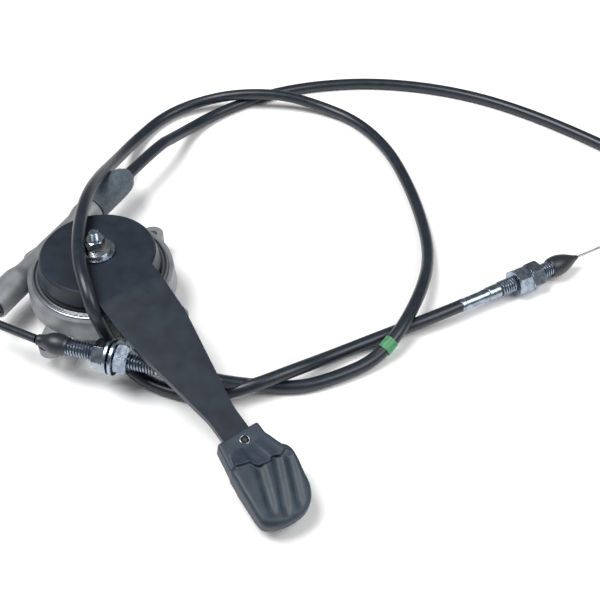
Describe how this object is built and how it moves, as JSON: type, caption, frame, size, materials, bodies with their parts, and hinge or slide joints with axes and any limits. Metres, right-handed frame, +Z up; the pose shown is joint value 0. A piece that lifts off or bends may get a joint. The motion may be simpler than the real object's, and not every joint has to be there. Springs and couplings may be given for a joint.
{
  "type": "throttle lever control",
  "caption": "Hand throttle lever with a friction hub in a cast housing, a thumb grip, a throttle cable from its duct and a loose cable with threaded ends.",
  "frame": {"origin": "on the lever's pivot axis, in the plane of the bottom cover, on which the part lies", "axes": "+Z up along the pivot axis, from the bottom cover to the hub; +Y along the cable duct, towards the cable outlet"},
  "size_m": [0.4355, 0.5535, 0.063],
  "materials": {
    "cast_aluminium": "as-cast, shot-blasted",
    "machined_steel": "turned",
    "black_paint": "satin stove enamel",
    "grip_rubber": "moulded, matt",
    "zinc_plate": "bright zinc plated",
    "spring_steel": "polished",
    "black_oxide": "black oxide",
    "grey_rubber": "moulded",
    "black_rubber": "moulded",
    "conduit_pvc": "extruded, slightly glossy",
    "green_sleeve": "shrunk sleeve",
    "wire_rope": "stranded",
    "zinc_alloy": "cast",
    "bronze": "turned",
    "friction_lining": "pressed, fibrous"
  },
  "bodies": {
    "base": {"housing": "cast_aluminium", "bottom_cover": "black_rubber", "duct_plug": "black_rubber", "stop_pin": "zinc_plate", "pivot_bush": "bronze", "wire_in_duct": "wire_rope", "friction_plate": "machined_steel", "conduit_a": "conduit_pvc", "conduit_b": "conduit_pvc", "coil_a": "conduit_pvc", "outlet_ferrule": "zinc_plate", "outlet_sleeve": "grey_rubber", "conduit_a_tail": "conduit_pvc", "end_ferrule_a": "zinc_plate", "ferrule_b_right": "zinc_plate", "hub_b_right": "zinc_plate", "nuts_b_right": "zinc_plate", "boot_b_right": "black_rubber", "ferrule_b_left": "zinc_plate", "hub_b_left": "zinc_plate", "nuts_b_left": "zinc_plate", "washers_b_left": "zinc_plate", "boot_b_left": "black_rubber", "guide_tube": "conduit_pvc", "mark_sleeve": "green_sleeve"},
    "lever": {"lever": "black_paint", "grip": "grip_rubber", "grip_screw": "black_oxide", "friction_lining": "friction_lining", "clamp_washer": "zinc_plate", "disc_springs": "spring_steel", "pivot_nut": "spring_steel", "pivot_shaft": "zinc_plate", "shaft_clip": "zinc_plate", "thrust_washer": "zinc_plate", "spacer_sleeve": "machined_steel", "cable_drum": "machined_steel", "drum_nipple": "zinc_alloy", "wire_on_drum": "wire_rope"},
    "wire_end_a": {"end_wire_a": "wire_rope", "end_nipple_a": "zinc_alloy"},
    "wire_end_b_right": {"wire_b_right": "wire_rope", "nipple_b_right": "zinc_alloy"},
    "wire_end_b_left": {"wire_b_left": "wire_rope", "nipple_b_left": "zinc_alloy"}
  },
  "joints": [
    {"name": "lever_swing", "type": "hinge", "parent": "base", "child": "lever", "pos_m": [0, 0, 0.03], "axis": [0, 0, 1], "range_deg": [0, 27]},
    {"name": "wire_a_pull", "type": "slide", "parent": "base", "child": "wire_end_a", "axis": [0.4695, -0.8829, 0], "range_m": [0, 0.0185]},
    {"name": "wire_b_pull", "type": "slide", "parent": "base", "child": "wire_end_b_right", "axis": [0.551, 0.8345, 0], "range_m": [-0.01, 0.01]},
    {"name": "wire_b_follow", "type": "slide", "parent": "base", "child": "wire_end_b_left", "axis": [-0.9962, 0.017, -0.0857], "range_m": [-0.0105, 0.0105]}
  ],
  "couplings": [
    {"joint": "wire_a_pull", "follows": "lever_swing", "m_per_rad": 0.0386},
    {"joint": "wire_b_follow", "follows": "wire_b_pull", "ratio": -1}
  ]
}
